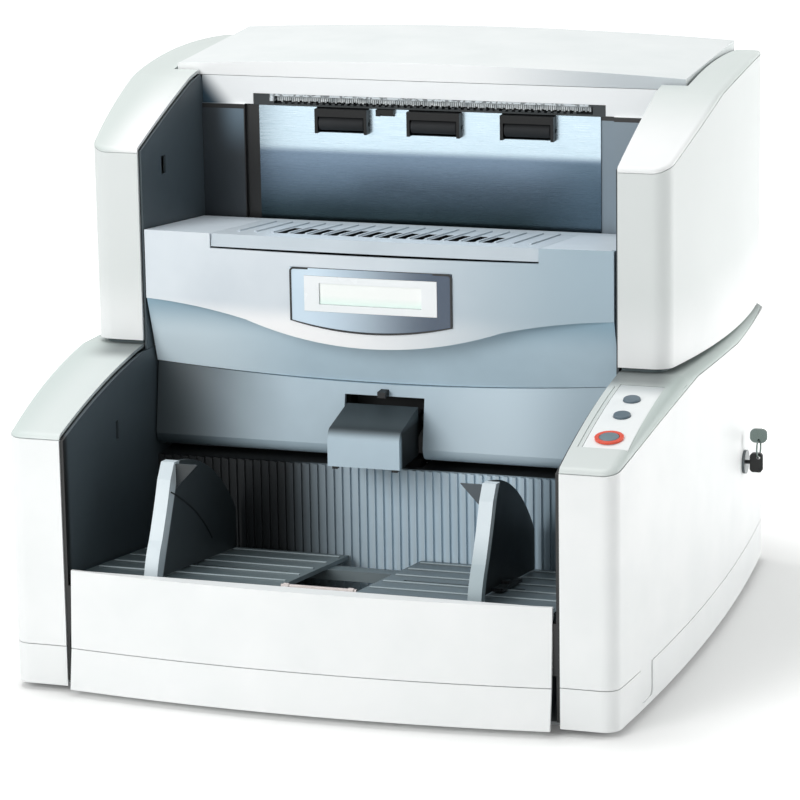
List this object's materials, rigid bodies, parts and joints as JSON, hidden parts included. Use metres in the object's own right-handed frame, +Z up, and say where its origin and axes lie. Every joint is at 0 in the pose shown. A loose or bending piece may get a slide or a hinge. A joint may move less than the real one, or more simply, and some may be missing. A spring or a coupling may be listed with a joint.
{
  "type": "document scanner",
  "caption": "Desktop production document scanner with a lifting feed table, sliding paper guides, a hinged feed unit, an exit bay and a hinged lid.",
  "frame": {"origin": "centre of the part's bounding box in plan, on the plane its feet stand on", "axes": "+Z up, +Y towards the back, +X to the right of someone facing the front, away from the side without the key"},
  "size_m": [0.5812, 0.587, 0.507],
  "materials": {
    "pan_grey": "dull sheet",
    "foot_rubber": "matt",
    "shell_white": "fine satin",
    "arm_white": "fine satin",
    "lid_white": "fine satin",
    "console_grey": "satin",
    "ring_orange": "glossy",
    "button_grey": "satin",
    "button_cap": "satin",
    "wall_dark": "satin",
    "rib_blue": "satin",
    "deck_grey": "satin",
    "roller_rubber": "matt",
    "clear_glass": "polished",
    "rod_steel": "ground",
    "table_grey": "fine grain",
    "frame_dark": "dull",
    "guide_grey": "satin",
    "strip_dark": "matt",
    "back_grey": "satin",
    "plate_steel": "bright rolled",
    "slot_dark": "matt",
    "holder_black": "glossy",
    "screw_steel": "bright",
    "inlet_black": "satin",
    "port_steel": "bright",
    "lock_steel": "polished",
    "key_black": "satin",
    "key_steel": "bright",
    "hinge_dark": "dull",
    "unit_pale": "satin",
    "band_blue": "satin",
    "panel_blue": "satin",
    "top_pale": "satin",
    "tray_pale": "satin",
    "window_blue": "glossy",
    "bezel_white": "glossy",
    "screen_mint": "glossy",
    "head_grey": "satin"
  },
  "bodies": {
    "housing": {"bottom_pan": "pan_grey", "feet": "foot_rubber", "side_skirts": "shell_white", "front_skirt": "shell_white", "front_panel": "shell_white", "side_cover_right": "shell_white", "side_cover_left": "shell_white", "arm_cover_right": "arm_white", "arm_cover_left": "arm_white", "console_plate": "console_grey", "start_ring": "ring_orange", "lower_walls": "wall_dark", "ribbed_wall": "rib_blue", "feed_deck": "deck_grey", "scan_glass": "clear_glass", "lift_rods": "rod_steel", "upper_side_right": "shell_white", "upper_side_left": "shell_white", "upper_arm_right": "arm_white", "upper_arm_left": "arm_white", "joint_strips": "strip_dark", "upper_walls": "wall_dark", "cavity_back": "back_grey", "exit_plate": "plate_steel", "slot_frame": "slot_dark", "roller_holders": "holder_black", "turn_guide": "frame_dark", "rear_panel": "shell_white", "panel_screws": "screw_steel", "power_inlet": "inlet_black", "data_port": "port_steel", "lock_barrel": "lock_steel", "lid_hinges": "hinge_dark"},
    "feed_unit": {"unit_front": "unit_pale", "unit_band": "band_blue", "unit_lower_panel": "panel_blue", "unit_frame": "frame_dark", "unit_top": "top_pale", "window_frame": "window_blue", "window_bezel": "bezel_white", "window_screen": "screen_mint"},
    "tray": {"pull_tray": "tray_pale"},
    "pick_head": {"head_cover": "head_grey", "head_arm": "frame_dark"},
    "pick_wheel": {"pick_roller": "roller_rubber"},
    "top_lid": {"lid": "lid_white"},
    "table": {"feed_table": "table_grey", "table_carriage": "frame_dark"},
    "right_guide": {"guide_right": "guide_grey"},
    "left_guide": {"guide_left": "guide_grey"},
    "upper_button": {"button_upper": "button_grey"},
    "middle_button": {"button_middle": "button_grey"},
    "start_button": {"button_start": "button_cap"},
    "feed_wheel": {"feed_roller": "roller_rubber"},
    "transport_wheel": {"transport_roller": "roller_rubber"},
    "exit_wheels": {"exit_rollers": "roller_rubber"},
    "exit_drive": {"exit_drive_shaft": "roller_rubber"},
    "rocker": {"power_rocker": "inlet_black"},
    "lock_key": {"key": "key_black", "key_ring": "key_steel"}
  },
  "joints": [
    {"name": "unit_hinge", "type": "hinge", "parent": "housing", "child": "feed_unit", "pos_m": [-0.00917, 0.074, 0.341], "axis": [-1, 0, 0], "range_deg": [0, 32]},
    {"name": "tray_slide", "type": "slide", "parent": "feed_unit", "child": "tray", "axis": [0, -0.9944, 0.1054], "range_m": [0, 0.085]},
    {"name": "pick_head_lift", "type": "hinge", "parent": "feed_unit", "child": "pick_head", "pos_m": [-0.00917, -0.034, 0.202], "axis": [-1, 0, 0], "range_deg": [0, 5]},
    {"name": "pick_roller_spin", "type": "hinge", "parent": "pick_head", "child": "pick_wheel", "pos_m": [-0.00917, -0.086, 0.184], "axis": [1, 0, 0], "continuous": true},
    {"name": "lid_hinge", "type": "hinge", "parent": "housing", "child": "top_lid", "pos_m": [-0.00917, 0.2895, 0.484], "axis": [-1, 0, 0], "range_deg": [0, 75]},
    {"name": "table_lift", "type": "slide", "parent": "housing", "child": "table", "axis": [0, 0, 1], "range_m": [0, 0.05]},
    {"name": "right_guide_slide", "type": "slide", "parent": "table", "child": "right_guide", "axis": [1, 0, 0], "range_m": [-0.084, 0.012]},
    {"name": "left_guide_slide", "type": "slide", "parent": "table", "child": "left_guide", "axis": [1, 0, 0], "range_m": [-0.012, 0.084]},
    {"name": "upper_button_press", "type": "slide", "parent": "housing", "child": "upper_button", "axis": [0, 0.1798, -0.9837], "range_m": [0, 0.0015], "stiffness_N_per_m": 400},
    {"name": "middle_button_press", "type": "slide", "parent": "housing", "child": "middle_button", "axis": [0, 0.1798, -0.9837], "range_m": [0, 0.0015], "stiffness_N_per_m": 400},
    {"name": "start_button_press", "type": "slide", "parent": "housing", "child": "start_button", "axis": [0, 0.1798, -0.9837], "range_m": [0, 0.0015], "stiffness_N_per_m": 400},
    {"name": "feed_roller_spin", "type": "hinge", "parent": "housing", "child": "feed_wheel", "pos_m": [-0.00917, -0.023, 0.147], "axis": [1, 0, 0], "continuous": true},
    {"name": "transport_roller_spin", "type": "hinge", "parent": "housing", "child": "transport_wheel", "pos_m": [-0.00917, 0.052, 0.147], "axis": [1, 0, 0], "continuous": true},
    {"name": "exit_roller_spin", "type": "hinge", "parent": "housing", "child": "exit_wheels", "pos_m": [-0.00917, 0.0875, 0.443], "axis": [1, 0, 0], "continuous": true},
    {"name": "exit_drive_spin", "type": "hinge", "parent": "housing", "child": "exit_drive", "pos_m": [-0.00917, 0.113, 0.469], "axis": [1, 0, 0], "continuous": true},
    {"name": "power_rocker_tilt", "type": "hinge", "parent": "housing", "child": "rocker", "pos_m": [-0.13417, 0.279, 0.066], "axis": [1, 0, 0], "range_deg": [0, 8]},
    {"name": "key_turn", "type": "hinge", "parent": "housing", "child": "lock_key", "pos_m": [0.26783, 0.162, 0.128], "axis": [1, 0, 0], "range_deg": [0, 90]}
  ],
  "couplings": [
    {"joint": "left_guide_slide", "follows": "right_guide_slide", "ratio": -1}
  ]
}
